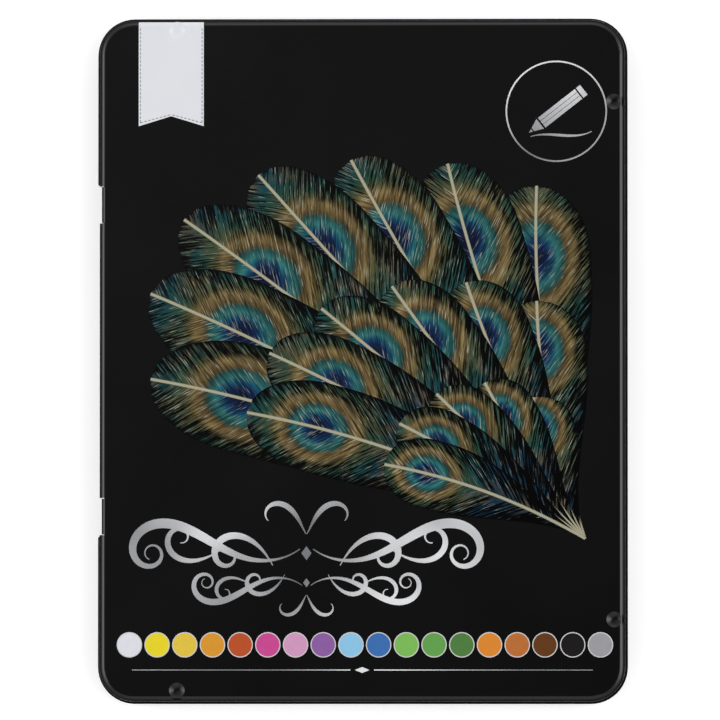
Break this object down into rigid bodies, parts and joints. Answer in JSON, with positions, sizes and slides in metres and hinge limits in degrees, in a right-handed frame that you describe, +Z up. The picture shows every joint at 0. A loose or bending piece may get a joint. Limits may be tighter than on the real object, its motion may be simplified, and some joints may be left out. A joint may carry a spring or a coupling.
{
  "type": "hinged pencil tin",
  "caption": "Flat hinged tin case with rounded corners and a formed tray that holds a layer of coloured pencils; the lid swings on rolled straps around wire pins.",
  "frame": {"origin": "middle of the closed case's underside", "axes": "+X towards the side that opens, +Y along the pencils towards their points, +Z up"},
  "size_m": [0.143, 0.185, 0.014],
  "materials": {
    "black_tin": "black varnished tinplate with a printed lid, bare inside",
    "hinge_wire": "plain drawn wire",
    "white_tray": "thin vacuum-formed sheet",
    "lacquer_01": "white gloss lacquer on the barrel, bare wood on the sharpened cone",
    "lead_01": "white wax lead, matt",
    "lacquer_02": "yellow gloss lacquer on the barrel, bare wood on the sharpened cone",
    "lead_02": "yellow wax lead, matt",
    "lacquer_03": "golden yellow gloss lacquer on the barrel, bare wood on the sharpened cone",
    "lead_03": "golden yellow wax lead, matt",
    "lacquer_04": "amber gloss lacquer on the barrel, bare wood on the sharpened cone",
    "lead_04": "amber wax lead, matt",
    "lacquer_05": "red brown gloss lacquer on the barrel, bare wood on the sharpened cone",
    "lead_05": "red brown wax lead, matt",
    "lacquer_06": "magenta gloss lacquer on the barrel, bare wood on the sharpened cone",
    "lead_06": "magenta wax lead, matt",
    "lacquer_07": "light pink gloss lacquer on the barrel, bare wood on the sharpened cone",
    "lead_07": "light pink wax lead, matt",
    "lacquer_08": "purple gloss lacquer on the barrel, bare wood on the sharpened cone",
    "lead_08": "purple wax lead, matt",
    "lacquer_09": "light blue gloss lacquer on the barrel, bare wood on the sharpened cone",
    "lead_09": "light blue wax lead, matt",
    "lacquer_10": "blue gloss lacquer on the barrel, bare wood on the sharpened cone",
    "lead_10": "blue wax lead, matt",
    "lacquer_11": "light green gloss lacquer on the barrel, bare wood on the sharpened cone",
    "lead_11": "light green wax lead, matt",
    "lacquer_12": "mid green gloss lacquer on the barrel, bare wood on the sharpened cone",
    "lead_12": "mid green wax lead, matt",
    "lacquer_13": "dark green gloss lacquer on the barrel, bare wood on the sharpened cone",
    "lead_13": "dark green wax lead, matt",
    "lacquer_14": "orange gloss lacquer on the barrel, bare wood on the sharpened cone",
    "lead_14": "orange wax lead, matt",
    "lacquer_15": "brown orange gloss lacquer on the barrel, bare wood on the sharpened cone",
    "lead_15": "brown orange wax lead, matt",
    "lacquer_16": "dark brown gloss lacquer on the barrel, bare wood on the sharpened cone",
    "lead_16": "dark brown wax lead, matt",
    "lacquer_17": "black gloss lacquer on the barrel, bare wood on the sharpened cone",
    "lead_17": "black wax lead, matt",
    "lacquer_18": "grey gloss lacquer on the barrel, bare wood on the sharpened cone",
    "lead_18": "grey wax lead, matt"
  },
  "bodies": {
    "base": {"base_shell": "black_tin", "hinge_pin_upper": "hinge_wire", "hinge_pin_lower": "hinge_wire", "insert_tray": "white_tray", "pencil_01_barrel": "lacquer_01", "pencil_01_lead": "lead_01", "pencil_02_barrel": "lacquer_02", "pencil_02_lead": "lead_02", "pencil_03_barrel": "lacquer_03", "pencil_03_lead": "lead_03", "pencil_04_barrel": "lacquer_04", "pencil_04_lead": "lead_04", "pencil_05_barrel": "lacquer_05", "pencil_05_lead": "lead_05", "pencil_06_barrel": "lacquer_06", "pencil_06_lead": "lead_06", "pencil_07_barrel": "lacquer_07", "pencil_07_lead": "lead_07", "pencil_08_barrel": "lacquer_08", "pencil_08_lead": "lead_08", "pencil_09_barrel": "lacquer_09", "pencil_09_lead": "lead_09", "pencil_10_barrel": "lacquer_10", "pencil_10_lead": "lead_10", "pencil_11_barrel": "lacquer_11", "pencil_11_lead": "lead_11", "pencil_12_barrel": "lacquer_12", "pencil_12_lead": "lead_12", "pencil_13_barrel": "lacquer_13", "pencil_13_lead": "lead_13", "pencil_14_barrel": "lacquer_14", "pencil_14_lead": "lead_14", "pencil_15_barrel": "lacquer_15", "pencil_15_lead": "lead_15", "pencil_16_barrel": "lacquer_16", "pencil_16_lead": "lead_16", "pencil_17_barrel": "lacquer_17", "pencil_17_lead": "lead_17", "pencil_18_barrel": "lacquer_18", "pencil_18_lead": "lead_18"},
    "lid": {"lid_shell": "black_tin"}
  },
  "joints": [
    {"name": "lid_hinge", "type": "hinge", "parent": "base", "child": "lid", "pos_m": [-0.0694, 0, 0.005], "axis": [0, -1, 0], "range_deg": [0, 115]}
  ]
}
